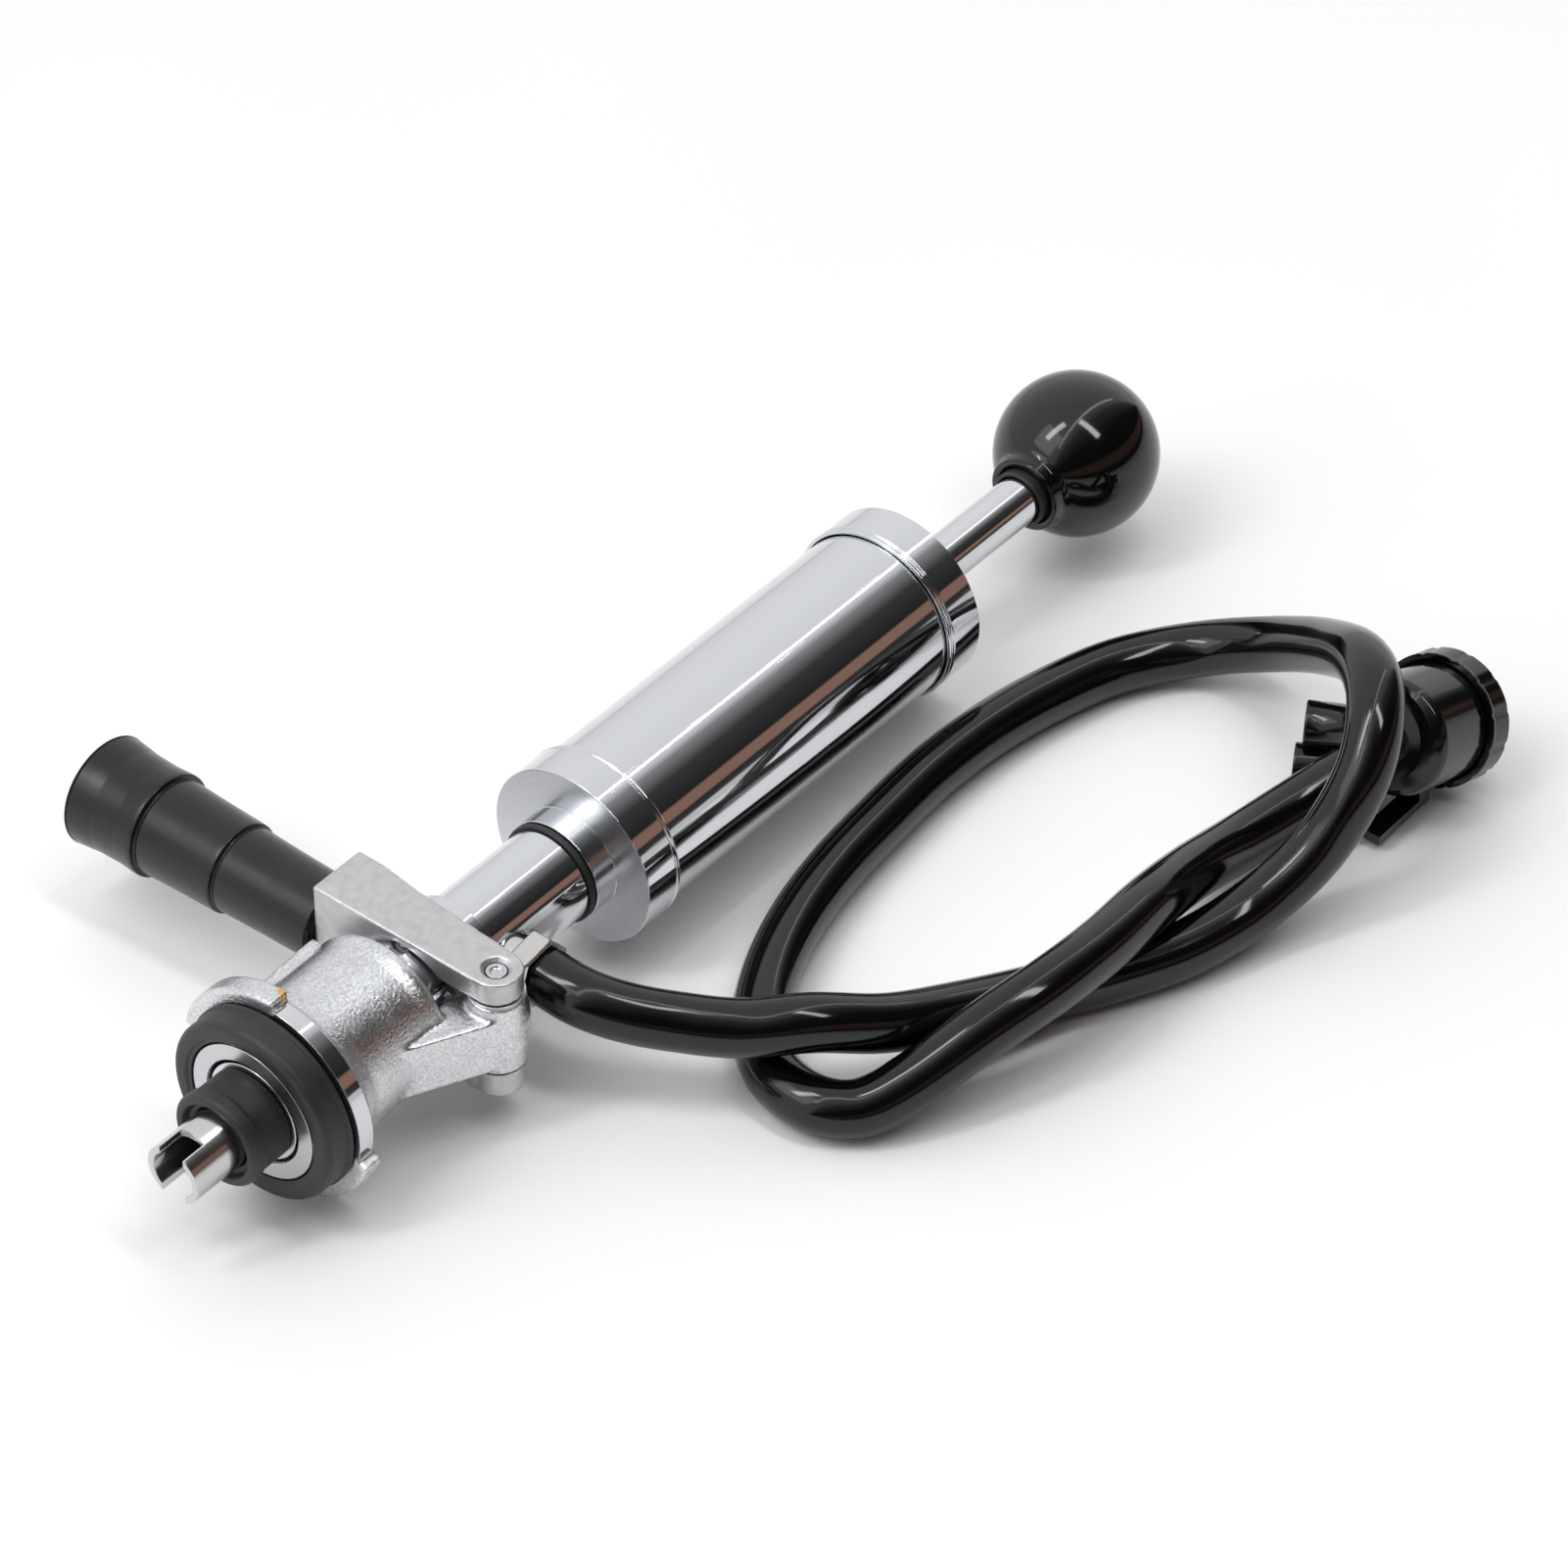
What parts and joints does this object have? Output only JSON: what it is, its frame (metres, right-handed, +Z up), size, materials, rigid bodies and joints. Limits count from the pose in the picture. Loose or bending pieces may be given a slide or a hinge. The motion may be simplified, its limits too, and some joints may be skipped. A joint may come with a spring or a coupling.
{
  "type": "keg party pump",
  "caption": "Hand air pump on a lever-operated keg coupler, with ball knob, slotted probe, seals, side grip, and a free hose ending in a small squeeze tap.",
  "frame": {"origin": "centre of the footprint of the pump, coupler and lever, on the surface it lies on; the hose and tap are not counted", "axes": "+X along the pump from the keg probe to the ball knob, +Y along the lever's grip, +Z up, with the lever's pivot pin upright"},
  "size_m": [0.4014, 0.2725, 0.063],
  "materials": {
    "chrome_plate": "mirror bright",
    "satin_steel": "satin",
    "plated_casting": "bright plate over a sand-grained casting",
    "cast_alloy": "fine-grained satin",
    "black_rubber": "matte",
    "brass": "turned",
    "cup_leather": "greased",
    "black_vinyl": "glossy",
    "gloss_black_plastic": "glossy",
    "satin_black_plastic": "satin"
  },
  "bodies": {
    "pump": {"barrel": "chrome_plate", "bottom_cap": "chrome_plate", "top_cap": "chrome_plate", "bottom_gasket": "black_rubber", "top_gasket": "black_rubber", "rod_bushing": "satin_steel", "rod_wiper": "black_rubber", "air_valve_disc": "black_rubber", "air_valve_cage": "brass", "column_tube": "chrome_plate", "neck_ring": "black_rubber", "outlet_stub": "satin_steel", "outlet_nut": "satin_steel", "probe_head": "chrome_plate", "upper_drive_pin": "satin_steel", "lower_drive_pin": "satin_steel", "front_probe_o_ring": "black_rubber", "rear_probe_o_ring": "black_rubber", "probe_tube": "satin_steel", "probe_seal": "black_rubber", "ball_retainer": "brass", "ball_stop": "brass", "hose": "black_vinyl", "tap_body": "gloss_black_plastic", "tap_ring": "gloss_black_plastic", "tap_diaphragm": "black_rubber"},
    "piston": {"piston_rod": "chrome_plate", "ball_knob": "gloss_black_plastic", "knob_ferrule": "black_rubber", "piston_cup": "cup_leather", "piston_plate": "satin_steel", "piston_washer": "satin_steel", "piston_nut": "satin_steel", "rod_bumper": "black_rubber"},
    "coupler": {"coupler_body": "plated_casting", "keg_seal": "black_rubber", "pivot_pin": "satin_steel", "upper_pivot_washer": "satin_steel", "lower_pivot_washer": "satin_steel"},
    "lever": {"lever_yoke": "cast_alloy", "grip_shank": "satin_steel"},
    "grip": {"grip_sleeve": "satin_black_plastic", "grip_end_cap": "satin_black_plastic", "latch_pin": "satin_steel"},
    "check_ball": {"check_ball": "satin_steel"},
    "tap_push": {"tap_button": "gloss_black_plastic"}
  },
  "joints": [
    {"name": "pump_stroke", "type": "slide", "parent": "pump", "child": "piston", "axis": [1, 0, 0], "range_m": [0, 0.095]},
    {"name": "coupler_slide", "type": "slide", "parent": "pump", "child": "coupler", "axis": [-1, 0, 0], "range_m": [0, 0.0125]},
    {"name": "lever_swing", "type": "hinge", "parent": "coupler", "child": "lever", "pos_m": [-0.10735, -0.06585, 0.0315], "axis": [0, 0, -1], "range_deg": [0, 25]},
    {"name": "grip_pull", "type": "slide", "parent": "lever", "child": "grip", "axis": [0, 1, 0], "range_m": [0, 0.006], "stiffness_N_per_m": 800, "springref_m": -0.002},
    {"name": "check_ball_lift", "type": "slide", "parent": "pump", "child": "check_ball", "axis": [1, 0, 0], "range_m": [0, 0.002]},
    {"name": "tap_press", "type": "slide", "parent": "pump", "child": "tap_push", "axis": [-0.9412, 0.024, 0.3371], "range_m": [0, 0.004], "stiffness_N_per_m": 1200, "springref_m": -0.002}
  ],
  "couplings": [
    {"joint": "coupler_slide", "follows": "lever_swing", "m_per_rad": 0.0284}
  ]
}
